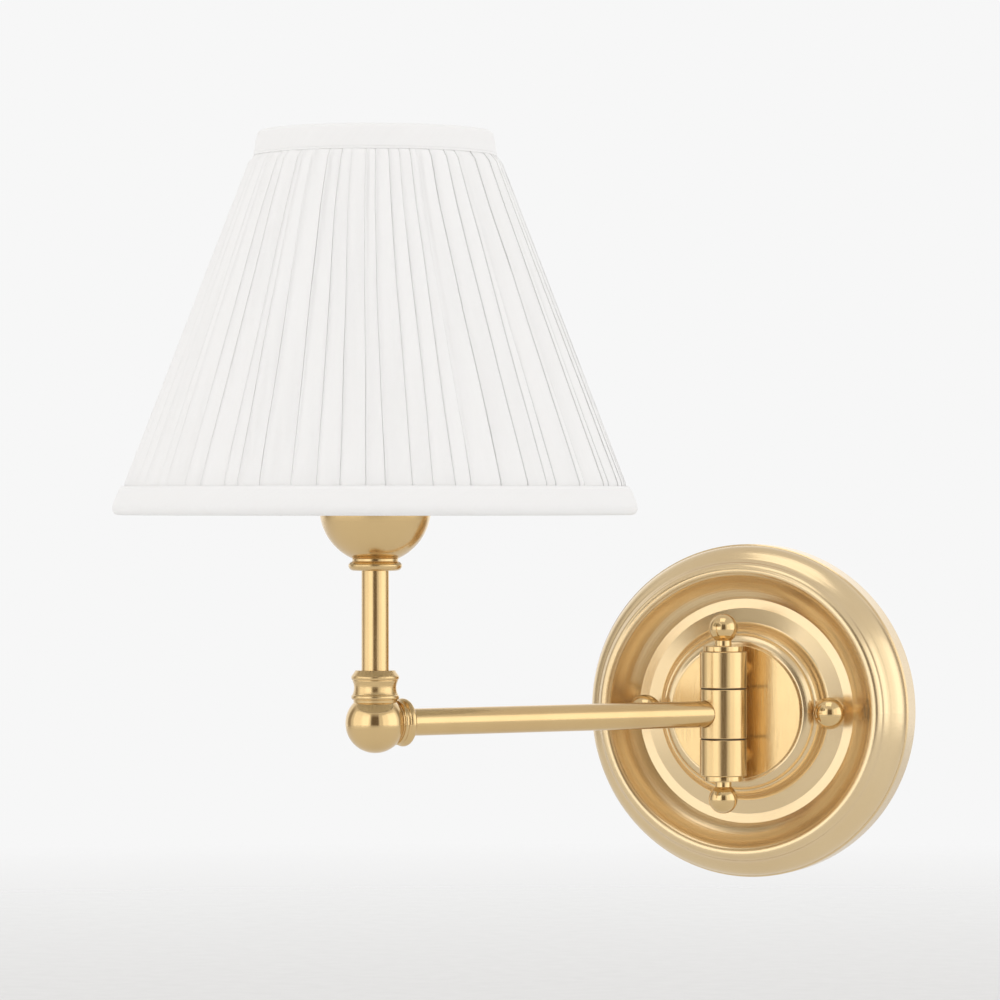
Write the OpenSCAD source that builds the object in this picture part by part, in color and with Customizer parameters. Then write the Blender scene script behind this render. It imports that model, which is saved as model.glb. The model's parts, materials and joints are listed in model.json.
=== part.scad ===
// Swing arm wall sconce.
// Frame: origin on the wall at the centre of the backplate, +Z up, -Y out from the wall, +X to the right.

/* [Backplate] */
// Outside radius of the backplate
plate_r = 66.7; // [60:0.1:80]
// Height of the backplate's straight side wall
side_h = 9.8; // [6:0.1:11]
// Sheet thickness of the backplate
sheet_t = 1.2; // [0.8:0.1:1.3]
// Radius of the flat land that carries the centre disc
land_r = 27.7; // [26:0.1:30]
// Height of that land above the wall
land_h = 24.4; // [23:0.1:27]
// Thickness of the brushed centre disc
disc_t = 1.8; // [1:0.1:3]
// Distance of each mounting stud from the backplate's centre
stud_offset = 38.5; // [37:0.1:41]
// Radius of a mounting stud
stud_r = 2.1; // [1.5:0.05:2.3]
// Radius of the ball on a mounting nut
nut_ball_r = 6.4; // [5:0.1:6.8]

/* [Crossbar] */
// Spacing of the two screw holes that fasten the crossbar to a wall box
box_spacing = 88.9; // [88.5:0.1:92]
// Radius of those holes
box_hole_r = 2.4; // [2:0.1:2.6]
// Width of the crossbar
bar_w = 20; // [16:0.5:26]
// Thickness of the crossbar
bar_t = 1.6; // [1.2:0.1:2.5]

/* [Hinge] */
// Distance of the hinge axis from the wall
hinge_out = 42; // [40:0.1:52]
// Radius of the hinge barrel
barrel_r = 9.3; // [8.8:0.1:11]
// Height of the swinging knuckle
mid_h = 19.4; // [18:0.1:26]
// Height of each fixed knuckle
end_h = 14.3; // [13:0.1:18]
// Thickness of the washer between two knuckles
washer_t = 0.4; // [0.3:0.05:0.8]
// Radius of the hinge pin
pin_r = 3; // [2.5:0.05:3.2]
// Outside radius of the stems that carry the fixed knuckles
stem_r = 4.5; // [4:0.1:5]
// Radius of the balls on the hinge finials
finial_r = 5.75; // [4.5:0.05:7]

/* [Arm] */
// Length from the hinge axis to the post axis
arm_len = 160; // [130:1:240]
// Angle between the arm and the wall at rest
swing_rest = 53; // [30:1:90]
// Outside radius of the arm tube and the post tube
tube_r = 5.2; // [4.6:0.05:5.3]
// Inside radius of those tubes
tube_bore_r = 4; // [3.4:0.1:4.2]
// Radius of the elbow ball
elbow_r = 11.35; // [10.8:0.05:13]
// Height of the post collar's top face above the arm's axis
collar_top = 20; // [18:0.1:24]
// Height of the underside of the cup's base ring above the arm's axis
post_h = 57.7; // [45:0.1:90]

/* [Cup and socket] */
// Outside radius of the socket cup
cup_r = 21.2; // [20.4:0.1:26]
// Wall thickness of the socket cup
cup_wall = 1; // [0.8:0.1:1.4]
// Radius of the lampholder's body
holder_r = 16.5; // [16.2:0.1:17.5]
// Radius of the lampholder's threaded neck
neck_r = 15.9; // [15.4:0.05:16]
// Inside radius of the screw shell, for a medium Edison base
shell_bore_r = 13.3; // [13.2:0.05:13.5]
// Largest radius of the bulb
bulb_r = 30; // [22:0.5:31]

/* [Shade] */
// Height of the shade, trims included
shade_h = 145.3; // [135:0.1:180]
// Height of the shade's lower edge above the base ring of the cup
shade_lift = 21; // [18:0.1:24]
// Outside radius of the shade just above its bottom trim
shade_bottom_r = 95.9; // [85:0.1:120]
// Outside radius of the shade just below its top trim
shade_top_r = 46.9; // [44:0.1:60]
// Height of the bottom trim band
bottom_trim_h = 10.9; // [8:0.1:14]
// Height of the top trim band
top_trim_h = 9.6; // [8:0.1:14]
// Thickness of the trim's cloth
trim_t = 0.8; // [0.5:0.05:1]
// Thickness of the pleated cover
cover_t = 1.3; // [0.8:0.1:1.5]
// Radius of the frame's ring wires
wire_r = 1.1; // [0.8:0.05:1.2]
// Number of ribs in the shade frame
rib_count = 6; // [4:1:12]
// Number of arms that carry the shade
fitter_arm_count = 3; // [3:1:4]

/* [Hidden] */
$fn = 72;

// Clearances
fit_gap = 0.05;     // between a tube, stud or stem and the hole it is fixed in
run_gap = 0.05;     // between faces that turn on each other
loose_gap = 0.2;    // between pieces that only pass each other
through = 1;        // how far a cut runs past the face it opens

// Backplate outline, worked out from its few driving sizes
floor_h = 13.4;                       // height of the channel floor
tier_foot = [plate_r - 31.1, floor_h + 1];    // where the tier leaves the dished floor
dish_foot = [plate_r - 25.5, floor_h];        // where the floor starts to rise towards the tier
tier_waist = tier_foot + [-1.7, 2.6]; // where the tier turns from hollow to round
tier_top = [land_r + 4.1, 21.2];      // outer edge of the ledge above the tier
scoop_foot = [plate_r - 21.8, floor_h];       // where the channel's hollow outer slope starts
scoop_top = [plate_r - 13, 21.3];     // where that slope meets the bead
bead_r = 3;                           // radius of the raised bead
bead_c = [plate_r - 10.2, 20.1];      // centre of the bead
shoulder = [plate_r - 4.7, 17.3];     // top of the outer shoulder

// Hinge heights, measured from the arm's axis
seam = washer_t + 2 * run_gap;        // gap between two knuckles
end_z = mid_h / 2 + seam;             // near face of a fixed knuckle
barrel_z = end_z + end_h;             // far face of a fixed knuckle
cap_r = barrel_r - 1.45;
cap_h = 2.2;
finial_neck_r = 3.27;
finial_neck_h = 2.3;
finial_ball_z = barrel_z + cap_h + finial_neck_h + sqrt(pow(finial_r, 2) - pow(finial_neck_r, 2));
pin_half = barrel_z + cap_h + finial_neck_h + 2.3;
chamber_r = 6.5;                      // wire chamber inside each knuckle
bush_h = 4;
stem_z = end_z + end_h / 2;
stem_start = chamber_r - 1;           // the stem enters the chamber by a millimetre
stem_bore_r = 2.6;
spring_seat = [6, 1.3];               // radius and depth of the seat for the spring washer

// Behind the plate
backing_t = 2.5;
stem_nut_t = 3.5;
stem_nut_af = 14;
backing_z = land_h - sheet_t - backing_t;
backing_half = land_r - 1.7;          // half the backing bar's length
stem_end = backing_z - stem_nut_t - 1.7;
bar_end_r = bar_w / 2;
bar_len = box_spacing + 10.1;
ground_x = 16;
stud_end = floor_h + 9.3;
nut_neck_r = 2.8;
nut_ball_z = floor_h + 11.6;

// Elbow and post, measured from the elbow's centre
tube_seat = tube_r + 0.15;            // where a tube's end stops inside the ball
collar_bore = tube_r + fit_gap;
bead_out = 9.15;                      // radius of the collars' beads
waist_in = 8.05;                      // radius of the post collar's waist
side_collar_end = 13.7;
ring_r = 10.2;
ring_neck_r = 8.7;
cup_c = post_h + cup_r + 2.7;          // height of the cup's centre
cup_floor = cup_c - cup_r + 3.1;      // flat floor inside the cup
lock_nut_t = 3;
bracket_z = cup_floor + lock_nut_t;
bracket_t = 1.5;
post_top = bracket_z + bracket_t + 0.9;
holder_z = bracket_z + bracket_t + 1.9;   // underside of the lampholder
holder_floor = holder_z + 4;
web_z = holder_z + 7;                 // underside of the web that carries the contact
web_t = 3.2;
seat_z = holder_z + 31;               // where the shade's fitter ring rests
neck_top = seat_z + 13;
holder_bore_r = shell_bore_r + 0.7;
screw_y = 9;
terminal_x = 7.6;
fitter_t = 1.3;
fitter_r = neck_r + 4.6;
fitter_z = seat_z + run_gap;
clamp_z = fitter_z + fitter_t + run_gap;
clamp_h = 6;
wire_gap = 1.5;                       // distance of each conductor from the tube's axis
lead_r = 1.1;
bulb_tip = web_z + web_t + 1.1;
bulb_base_r = shell_bore_r - 0.3;
bulb_neck_z = bulb_tip + 27;
bulb_wall = 0.8;
bulb_c = bulb_neck_z + 53 * bulb_r / 30;

// Shade, measured from the elbow's centre
shade_z0 = post_h + shade_lift;
shade_z1 = shade_z0 + shade_h;
cover_z0 = shade_z0 + bottom_trim_h;  // top edge of the bottom trim
cover_z1 = shade_z1 - top_trim_h;     // lower edge of the top trim
cone_z1 = cover_z1 - 1.3;
shade_slope = (shade_bottom_r - shade_top_r) / (cone_z1 - cover_z0);
trim_proud = 0.4;                     // how far the bottom trim stands out from the cone
low_out = on_cone(shade_z0 + 3.2) + trim_proud;
high_out = shade_top_r - 2;           // outside radius of the top trim near its upper edge
low_wire = [low_out - 2.7, shade_z0 + 2.1];
high_wire = [high_out - trim_t - 0.4 - wire_r, shade_z1 - 2.2];
rib_r = 0.75;
rib_weld = wire_r + rib_r + 0.05;     // distance between a rib's end and the ring it is welded to
rib_foot = low_wire + [-0.56, 0.83] * rib_weld;
rib_head = high_wire + [-0.8, -0.6] * rib_weld;
arm_tip = [low_wire[0] - 0.4, low_wire[1] + 2 * wire_r + 0.05];
rib_slope = (rib_foot[0] - rib_head[0]) / (rib_head[1] - rib_foot[1]);
liner_t = 0.4;
liner_gap = rib_r * sqrt(1 + pow(rib_slope, 2)) + 0.25;   // from a rib's axis to the lining
liner_foot = [on_rib(cover_z0 - 2) - liner_gap, cover_z0 - 2];
liner_head = [on_rib(cover_z1 + 0.7) - liner_gap, cover_z1 + 0.7];
steps = 10;                           // straight steps in a quarter round

// Colours
brass = [0.83, 0.68, 0.43];
steel = [0.7, 0.71, 0.73];

// ---- helpers

function arc(c, rx, ry, from, to, n = steps) =
    [for (i = [0:n]) let (a = from + (to - from) * i / n) [c[0] + rx * cos(a), c[1] + ry * sin(a)]];

// Points from p to q on a shallow arc that stands off the straight line by rise, to the left of the way
function bow(p, q, rise, n = steps) =
    [for (i = [0:n])
        let (t = i / n, d = q - p, k = 4 * rise * t * (1 - t) / norm(d))
        p + d * t + [-d[1], d[0]] * k];

function reversed(list) = [for (i = [len(list) - 1:-1:0]) list[i]];
function on_cone(z) = shade_bottom_r - (z - cover_z0) * shade_slope;
function on_rib(z) = rib_foot[0] - (z - rib_foot[1]) * rib_slope;

module from_wall() rotate([90, 0, 0]) children();
module in_hinge() translate([0, -hinge_out, 0]) children();
module in_arm() in_hinge() rotate([0, 0, 180 + swing_rest]) children();
module in_post() in_arm() translate([arm_len, 0, 0]) children();
module to_wall() rotate([-90, 0, 0]) children();
module to_hinge() rotate([0, -90, 0]) children();
module mirrored(v) {
    children();
    mirror(v) children();
}
module tube(r_out, r_in, z0, z1) translate([0, 0, z0]) difference() {
    cylinder(r = r_out, h = z1 - z0);
    translate([0, 0, -through]) cylinder(r = r_in, h = z1 - z0 + 2 * through);
}
module hex(af, h) cylinder(r = af / 2 / cos(30), h = h, $fn = 6);
// A straight round wire between two points given as [radius, height], turned to angle a
module wire(p, q, r, a) let (d = q - p)
    rotate([0, 0, a]) translate([p[0], 0, p[1]]) rotate([0, atan2(d[0], d[1]), 0])
        cylinder(r = r, h = norm(d));

// ---- backplate and what is behind it

// The plate's outline from the rim to the land, set in from the outside by t
function plate_line(t) = concat(
    [[plate_r - t, 0], [plate_r - t, side_h - t * 0.5]],
    bow([plate_r - 0.5 - t, side_h + 0.4 - t * 0.4], shoulder - t * [0.85, 0.7], -1),
    bow(shoulder - t * [0.9, 0.8], bead_c + (bead_r - t) * [cos(12), sin(12)], 0.45, 6),
    arc(bead_c, bead_r - t, bead_r - t, 18, t > 0 ? 163 : 153, 2 * steps),
    bow(scoop_top + t * [0.87, -0.48], scoop_foot + t * [0.18, -0.98], 1.3, 12),
    [dish_foot - t * [0.1, 1]],
    bow(tier_foot - t * [0.6, 0.95], tier_waist - t * [1, 0.1], 0.35, 6),
    bow(tier_waist - t * [1, 0], tier_top - t * [0.8, 0.6], -0.4, 6),
    bow(tier_top - [0.5, -0.1] - t * [0.7, 0.8], [land_r, land_h] - t * [0.2, 1], -0.6, 8)
);

module backplate() color(brass) from_wall() difference() {
    rotate_extrude() polygon(concat(
        plate_line(0), [[0, land_h], [0, land_h - sheet_t]], reversed(plate_line(sheet_t))));
    for (s = [-1, 1]) {
        translate([s * stud_offset, 0, floor_h - sheet_t - through])
            cylinder(r = stud_r + loose_gap, h = tier_foot[1] - floor_h + sheet_t + 2 * through);
        translate([0, s * stem_z, land_h - sheet_t - through])
            cylinder(r = stem_r + fit_gap, h = sheet_t + 2 * through);
    }
}

module centre_disc() color(brass) from_wall() difference() {
    translate([0, 0, land_h]) cylinder(r = land_r - 0.9, h = disc_t);
    for (s = [-1, 1]) translate([0, s * stem_z, land_h - through])
        cylinder(r = stem_r + fit_gap, h = disc_t + 2 * through);
}

module backing_bar() color(steel) from_wall() difference() {
    translate([-stem_nut_af / 2, -backing_half, backing_z])
        cube([stem_nut_af, 2 * backing_half, backing_t]);
    for (s = [-1, 1]) translate([0, s * stem_z, backing_z - through])
        cylinder(r = stem_r + fit_gap, h = backing_t + 2 * through);
}

module stem_nuts() color(steel) from_wall() for (s = [-1, 1])
    translate([0, s * stem_z, backing_z - stem_nut_t]) difference() {
        hex(stem_nut_af, stem_nut_t);
        translate([0, 0, -through]) cylinder(r = stem_r + fit_gap, h = stem_nut_t + 2 * through);
    }

module crossbar() color(steel) from_wall() difference() {
    union() {
        translate([-bar_len / 2 + bar_end_r, -bar_w / 2, 0])
            cube([bar_len - 2 * bar_end_r, bar_w, bar_t]);
        for (s = [-1, 1]) translate([s * (bar_len / 2 - bar_end_r), 0, 0])
            cylinder(r = bar_end_r, h = bar_t);
    }
    for (s = [-1, 1]) {
        translate([s * stud_offset, 0, -through]) cylinder(r = stud_r + fit_gap, h = bar_t + 2 * through);
        translate([s * box_spacing / 2, 0, -through]) cylinder(r = box_hole_r, h = bar_t + 2 * through);
    }
    translate([0, 0, -through]) cylinder(r = 5.2, h = bar_t + 2 * through);
    translate([ground_x, 0, -through]) cylinder(r = stud_r + fit_gap, h = bar_t + 2 * through);
}

module mounting_studs() color(steel) from_wall() for (s = [-1, 1])
    translate([s * stud_offset, 0, 0]) cylinder(r = stud_r, h = stud_end);

module stud_lock_nuts() color(steel) from_wall() for (s = [-1, 1])
    translate([s * stud_offset, 0, bar_t]) difference() {
        hex(7.9, 3);
        translate([0, 0, -through]) cylinder(r = stud_r + fit_gap, h = 3 + 2 * through);
    }

module ball_nuts() color(brass) from_wall() for (s = [-1, 1])
    translate([s * stud_offset, 0, 0]) difference() {
        union() {
            translate([0, 0, tier_foot[1]]) cylinder(r = nut_neck_r, h = nut_ball_z - tier_foot[1]);
            translate([0, 0, nut_ball_z]) sphere(r = nut_ball_r);
        }
        translate([0, 0, floor_h - through])
            cylinder(r = stud_r + fit_gap, h = stud_end - floor_h + 1 + through);
    }

module ground_screw() color([0.1, 0.5, 0.25]) from_wall() translate([ground_x, 0, 0]) {
    cylinder(r = stud_r, h = bar_t + 0.1);
    translate([0, 0, bar_t]) cylinder(r = 4.8, h = 0.8);
    translate([0, 0, bar_t + 0.7]) hex(7.9, 2.4);
}

// ---- hinge, fixed side

module stem(z) color(brass) in_hinge() translate([0, 0, z]) to_wall()
    tube(stem_r, stem_bore_r, stem_start, hinge_out - stem_end);
module upper_stem() stem(stem_z);
module lower_stem() stem(-stem_z);

// A fixed knuckle standing on z = 0, with its wire chamber open downwards
module end_knuckle() difference() {
    cylinder(r = barrel_r, h = end_h);
    translate([0, 0, -through]) cylinder(r = chamber_r, h = end_h - 2.5 + through);
    translate([0, 0, -through]) cylinder(r = pin_r + fit_gap, h = end_h + 2 * through);
    translate([0, 0, end_h / 2]) to_wall() translate([0, 0, stem_start])
        cylinder(r = stem_r + fit_gap, h = barrel_r);
}
module upper_knuckle() color(brass) in_hinge() translate([0, 0, end_z]) end_knuckle();
module lower_knuckle() color(brass) in_hinge() difference() {
    mirror([0, 0, 1]) translate([0, 0, end_z]) end_knuckle();
    translate([0, 0, -barrel_z - through]) cylinder(r = spring_seat[0], h = spring_seat[1] + through);
}

module hinge_pin() color(steel) in_hinge() translate([0, 0, -pin_half])
    cylinder(r = pin_r, h = 2 * pin_half);

// A finial standing on z = 0, which is the knuckle's outer face
module finial() difference() {
    union() {
        cylinder(r = cap_r, h = cap_h);
        cylinder(r = finial_neck_r, h = finial_ball_z - barrel_z);
        translate([0, 0, finial_ball_z - barrel_z]) sphere(r = finial_r);
    }
    translate([0, 0, -through]) cylinder(r = pin_r + fit_gap, h = pin_half - barrel_z + 0.2 + through);
}
module top_finial() color(brass) in_hinge() translate([0, 0, barrel_z]) finial();
module bottom_finial() color(brass) in_hinge() mirror([0, 0, 1]) translate([0, 0, barrel_z]) finial();

module spring_washer() color(steel) in_hinge() translate([0, 0, -barrel_z]) rotate_extrude()
    polygon([[pin_r + loose_gap, 0], [pin_r + loose_gap, 0.5], [spring_seat[0] - 0.4, spring_seat[1]],
             [spring_seat[0] - 0.4, spring_seat[1] - 0.5]]);

module hinge_washers() color([0.25, 0.2, 0.15]) in_hinge() mirrored([0, 0, 1])
    tube(barrel_r - 0.5, pin_r + loose_gap, mid_h / 2 + run_gap, mid_h / 2 + run_gap + washer_t);

// ---- hinge, swinging side, and the arm

module middle_knuckle() color(brass) in_arm() difference() {
    translate([0, 0, -mid_h / 2]) cylinder(r = barrel_r, h = mid_h);
    translate([0, 0, -mid_h / 2 - through]) cylinder(r = chamber_r, h = mid_h + 2 * through);
    rotate([0, 90, 0]) translate([0, 0, stem_start]) cylinder(r = tube_r + fit_gap, h = barrel_r);
}

module hinge_bushes() color([0.9, 0.88, 0.8]) in_arm() mirrored([0, 0, 1])
    translate([0, 0, mid_h / 2 - bush_h]) difference() {
        cylinder(r = chamber_r - fit_gap, h = bush_h);
        translate([0, 0, -through]) cylinder(r = pin_r + run_gap, h = bush_h + 2 * through);
        translate([0, (chamber_r + pin_r) / 2, -through])
            cylinder(r = lead_r + 0.1, h = bush_h + 2 * through);
    }

module arm_tube() color(brass) in_arm() rotate([0, 90, 0])
    tube(tube_r, tube_bore_r, stem_start, arm_len - tube_seat);

module arm_wires() color([0.15, 0.15, 0.15]) in_post() for (s = [-1, 1]) translate([0, s * wire_gap, 0]) {
    to_hinge() cylinder(r = lead_r, h = arm_len - chamber_r - 0.5);
    sphere(r = lead_r);
    cylinder(r = lead_r, h = holder_floor + 0.95);
    translate([0, 0, holder_floor + 0.95]) sphere(r = 0.8);
    translate([0, 0, holder_floor + 0.95]) rotate([0, 90 * s, 0]) cylinder(r = 0.8, h = terminal_x);
}

module elbow_ball() color(brass) in_post() difference() {
    sphere(r = elbow_r);
    sphere(r = tube_bore_r);
    cylinder(r = tube_bore_r, h = elbow_r);
    to_hinge() cylinder(r = tube_bore_r, h = elbow_r);
    translate([0, 0, tube_seat]) cylinder(r = collar_bore, h = elbow_r);
    to_hinge() translate([0, 0, tube_seat]) cylinder(r = collar_bore, h = elbow_r);
}

module elbow_collar() color(brass) in_post() to_hinge() difference() {
    rotate_extrude() polygon(concat(
        [[collar_bore, 6.5], [8, 6.5]],
        arc([7.8, 9.6], 0.75, 0.9, -90, 60, 6),
        arc([bead_out - 1, side_collar_end - 1.6], 1, 1.4, -70, 80, 8),
        [[bead_out - 1.2, side_collar_end], [collar_bore, side_collar_end]]));
    sphere(r = elbow_r);
}

module post_collar() color(brass) in_post() difference() {
    rotate_extrude() polygon(concat(
        [[collar_bore, 6], [8, 6]],
        arc([bead_out - 1, 9.9], 1, 1.05, -80, 60, 8),
        bow([bead_out - 0.5, 10.9], [bead_out - 0.5, collar_top - 3.9], bead_out - 0.5 - waist_in),
        arc([bead_out - 1, collar_top - 2.7], 1, 1.1, -60, 30, 6),
        [[7.5, collar_top], [collar_bore, collar_top]]));
    sphere(r = elbow_r);
}

module post_tube() color(brass) in_post() tube(tube_r, tube_bore_r, tube_seat, post_top);

// ---- cup, lampholder and bulb

module cup_ring() color(brass) in_post() difference() {
    rotate_extrude() polygon(concat(
        [[collar_bore, post_h], [ring_r - 2, post_h]],
        arc([ring_r - 2, post_h + 2], 2, 2, -80, 10, 8),
        [[ring_r - 0.7, post_h + 3.2], [ring_neck_r, post_h + 3.5],
         [ring_neck_r, cup_floor], [collar_bore, cup_floor]]));
    translate([0, 0, cup_c]) sphere(r = cup_r);
}

module socket_cup() color(brass) in_post() difference() {
    translate([0, 0, cup_c]) sphere(r = cup_r);
    intersection() {
        translate([0, 0, cup_c]) sphere(r = cup_r - cup_wall);
        translate([-cup_r, -cup_r, cup_floor]) cube(2 * cup_r);
    }
    translate([-cup_r - through, -cup_r - through, cup_c]) cube([3 * cup_r, 3 * cup_r, 2 * cup_r]);
    cylinder(r = collar_bore, h = cup_c);
}

module cup_lock_nut() color(brass) in_post() translate([0, 0, cup_floor]) difference() {
    hex(14, lock_nut_t);
    translate([0, 0, -through]) cylinder(r = collar_bore, h = lock_nut_t + 2 * through);
}

module socket_bracket() color(steel) in_post() difference() {
    union() {
        translate([0, 0, bracket_z]) cylinder(r = 12.5, h = bracket_t);
        for (s = [-1, 1]) translate([0, s * screw_y, bracket_z]) cylinder(r = 3, h = holder_z - bracket_z);
    }
    cylinder(r = collar_bore, h = holder_z + through);
    for (s = [-1, 1]) translate([0, s * screw_y, 0]) cylinder(r = 1.4 + fit_gap, h = holder_z + through);
}

module socket_base() color([0.12, 0.1, 0.09]) in_post() difference() {
    rotate_extrude() polygon([
        [collar_bore + 0.2, holder_z], [14.5, holder_z], [holder_r, holder_floor],
        [holder_r, web_z], [holder_bore_r, web_z], [holder_bore_r, holder_floor],
        [collar_bore + 0.2, holder_floor]]);
    for (s = [-1, 1]) translate([0, s * screw_y, holder_z - through])
        cylinder(r = 1.4 + fit_gap, h = holder_floor - holder_z + 2 * through);
}

module socket_screws() color(steel) in_post() for (s = [-1, 1]) translate([0, s * screw_y, 0]) {
    translate([0, 0, bracket_z + 0.2]) cylinder(r = 1.4, h = holder_floor - bracket_z);
    translate([0, 0, holder_floor]) cylinder(r = 2.4, h = 1.2);
}

module socket_body() color([0.12, 0.1, 0.09]) in_post() rotate_extrude() polygon([
    [2.2, web_z], [holder_r, web_z], [holder_r, seat_z - 2.5], [holder_r + 2.8, seat_z - 2.5],
    [holder_r + 2.8, seat_z], [neck_r, seat_z], [neck_r, neck_top], [holder_bore_r, neck_top],
    [holder_bore_r, web_z + web_t], [2.2, web_z + web_t]]);

module socket_shell() color(brass) in_post() rotate_extrude() polygon([
    [9, web_z + web_t], [holder_bore_r - 0.1, web_z + web_t], [holder_bore_r - 0.1, neck_top - 2.5],
    [shell_bore_r, neck_top - 2.5], [shell_bore_r, web_z + web_t + 0.6], [9, web_z + web_t + 0.6]]);

module socket_contact() color(brass) in_post() {
    translate([0, 0, web_z - 0.6]) cylinder(r = 2.1, h = web_t + 1);
    translate([0, 0, web_z + web_t]) cylinder(r = 4, h = 1);
}

module socket_terminals() color(brass) in_post() for (s = [-1, 1])
    translate([s * terminal_x - 2, s * wire_gap - 2.5, web_z - 1.1]) cube([4, 5, 1.1]);

module shade_ring() color(brass) in_post() difference() {
    tube(neck_r + 3.2, neck_r + fit_gap, clamp_z, clamp_z + clamp_h);
    for (i = [0:23]) rotate([0, 0, i * 15]) translate([neck_r + 3.9, 0, clamp_z - through])
        cylinder(r = 1.1, h = clamp_h + 2 * through);
}

module bulb_base() color(steel) in_post() rotate_extrude() polygon([
    [0, bulb_tip], [4.5, bulb_tip], [5, bulb_tip + 0.8], [bulb_base_r - 2, bulb_tip + 4],
    [bulb_base_r, bulb_tip + 5.5], [bulb_base_r, bulb_neck_z], [0, bulb_neck_z]]);

function bulb_line(t) = concat(
    [for (i = [0:2 * steps]) let (u = i / (2 * steps))
        [bulb_base_r - t + (bulb_r - bulb_base_r) * pow(sin(90 * u), 2),
         bulb_neck_z + t + (bulb_c - bulb_neck_z - t) * u]],
    arc([0, bulb_c], bulb_r - t, bulb_r - t, 5, 90, 2 * steps));
module bulb_glass() color([0.95, 0.95, 0.93]) in_post() rotate_extrude()
    polygon(concat(
        [[0, bulb_neck_z]], bulb_line(0),
        reversed(bulb_line(bulb_wall)), [[0, bulb_neck_z + bulb_wall]]));

// ---- shade

module fitter_ring() color(steel) in_post()
    tube(fitter_r, neck_r + loose_gap, fitter_z, fitter_z + fitter_t);

module fitter_arms() color(steel) in_post() for (i = [0:fitter_arm_count - 1])
    wire([fitter_r + 0.2, fitter_z + fitter_t / 2], arm_tip, wire_r, 30 + i * 360 / fitter_arm_count);

module ring_wire(p) rotate_extrude() translate(p) circle(r = wire_r);
module shade_bottom_ring() color(steel) in_post() ring_wire(low_wire);
module shade_top_ring() color(steel) in_post() ring_wire(high_wire);

module shade_ribs() color(steel) in_post() for (i = [0:rib_count - 1])
    wire(rib_foot, rib_head, rib_r, i * 360 / rib_count);

module shade_liner() color([0.96, 0.95, 0.92]) in_post() rotate_extrude() polygon([
    liner_foot, liner_head, liner_head - [liner_t, 0], liner_foot - [liner_t, 0]]);

// The cover is tucked under both trims, so its ends step inwards
module shade_cover() color([0.95, 0.95, 0.95]) in_post()
    let (tuck = trim_t + 0.1, foot_z = cover_z0 - 5, head_z = cover_z1 + 4.5, hem_t = 0.5)
    rotate_extrude() polygon([
        [on_cone(foot_z) + trim_proud - tuck, foot_z], [on_cone(cover_z0) + trim_proud - tuck, cover_z0],
        [shade_bottom_r, cover_z0 + 0.1], [shade_top_r, cone_z1],
        [shade_top_r - 0.9 - tuck, cover_z1], [high_out - tuck + 0.35, head_z],
        [high_out - tuck + 0.35 - hem_t, head_z], [shade_top_r - 0.9 - tuck - hem_t, cover_z1],
        [shade_top_r - cover_t, cone_z1 - 0.5], [shade_bottom_r - cover_t, cover_z0 + 0.1],
        [on_cone(foot_z) + trim_proud - tuck - hem_t, foot_z]]);

// The bottom trim is a folded tape: an outer leg, a rolled edge under the ring wire and a short inner leg
module shade_bottom_trim() color([0.95, 0.95, 0.95]) in_post()
    let (low = shade_z0, out = low_out, in = low_wire[0] - wire_r - 0.2)
    rotate_extrude() polygon(concat(
        [[on_cone(cover_z0) + trim_proud, cover_z0], [on_cone(cover_z0) + trim_proud - trim_t, cover_z0],
         [out - trim_t, low + 3]],
        [[out - 1.8, low + trim_t], [in + 0.8, low + trim_t], [in, low + 1.8], [in, low + 3.1]],
        [[in - trim_t, low + 3.1]],
        arc([in + 1, low + 1.8], 1 + trim_t, 1.8, 180, 270, 6),
        arc([out - 2.4, low + 3.2], 2.4, 3.2, -90, 0, 8)));

// The top trim stands a little steeper than the shade and folds over the top ring in the same way
module shade_top_trim() color([0.95, 0.95, 0.95]) in_post()
    let (high = shade_z1, out = high_out, in = high_wire[0] - wire_r - 0.2)
    rotate_extrude() polygon(concat(
        [[shade_top_r - 0.8, cover_z1], [out, high - 3]],
        arc([out - 1.9, high - 3], 1.9, 3, 0, 90, 8),
        arc([in + 1, high - 1.8], 1 + trim_t, 1.8, 90, 180, 6),
        [[in - trim_t, high - 2.9], [in, high - 2.9], [in, high - 1.8], [in + 0.8, high - trim_t]],
        [[out - 1.5, high - trim_t], [out - trim_t, high - 3], [shade_top_r - 0.8 - trim_t, cover_z1]]));

backplate();
centre_disc();
backing_bar();
stem_nuts();
crossbar();
mounting_studs();
stud_lock_nuts();
ball_nuts();
ground_screw();
upper_stem();
lower_stem();
upper_knuckle();
lower_knuckle();
hinge_pin();
top_finial();
bottom_finial();
spring_washer();
hinge_washers();
middle_knuckle();
hinge_bushes();
arm_tube();
arm_wires();
elbow_ball();
elbow_collar();
post_collar();
post_tube();
cup_ring();
socket_cup();
cup_lock_nut();
socket_bracket();
socket_base();
socket_screws();
socket_body();
socket_shell();
socket_contact();
socket_terminals();
shade_ring();
bulb_base();
bulb_glass();
fitter_ring();
fitter_arms();
shade_bottom_ring();
shade_ribs();
shade_top_ring();
shade_liner();
shade_cover();
shade_top_trim();
shade_bottom_trim();
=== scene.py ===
# %% [markdown]
# A wall sconce with a swinging arm
#
# The sconce has three moving parts: the backplate with the fixed half of its hinge, the arm that
# swings on the hinge pin, and the shade, which turns on the lampholder. The frame is loaded as a
# finished design, and everything made below goes where the frame says. Lengths are in metres, so
# MM turns the millimetres that a lamp maker thinks in into Blender's units.

# %% Load the frame
import json
import math

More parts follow.
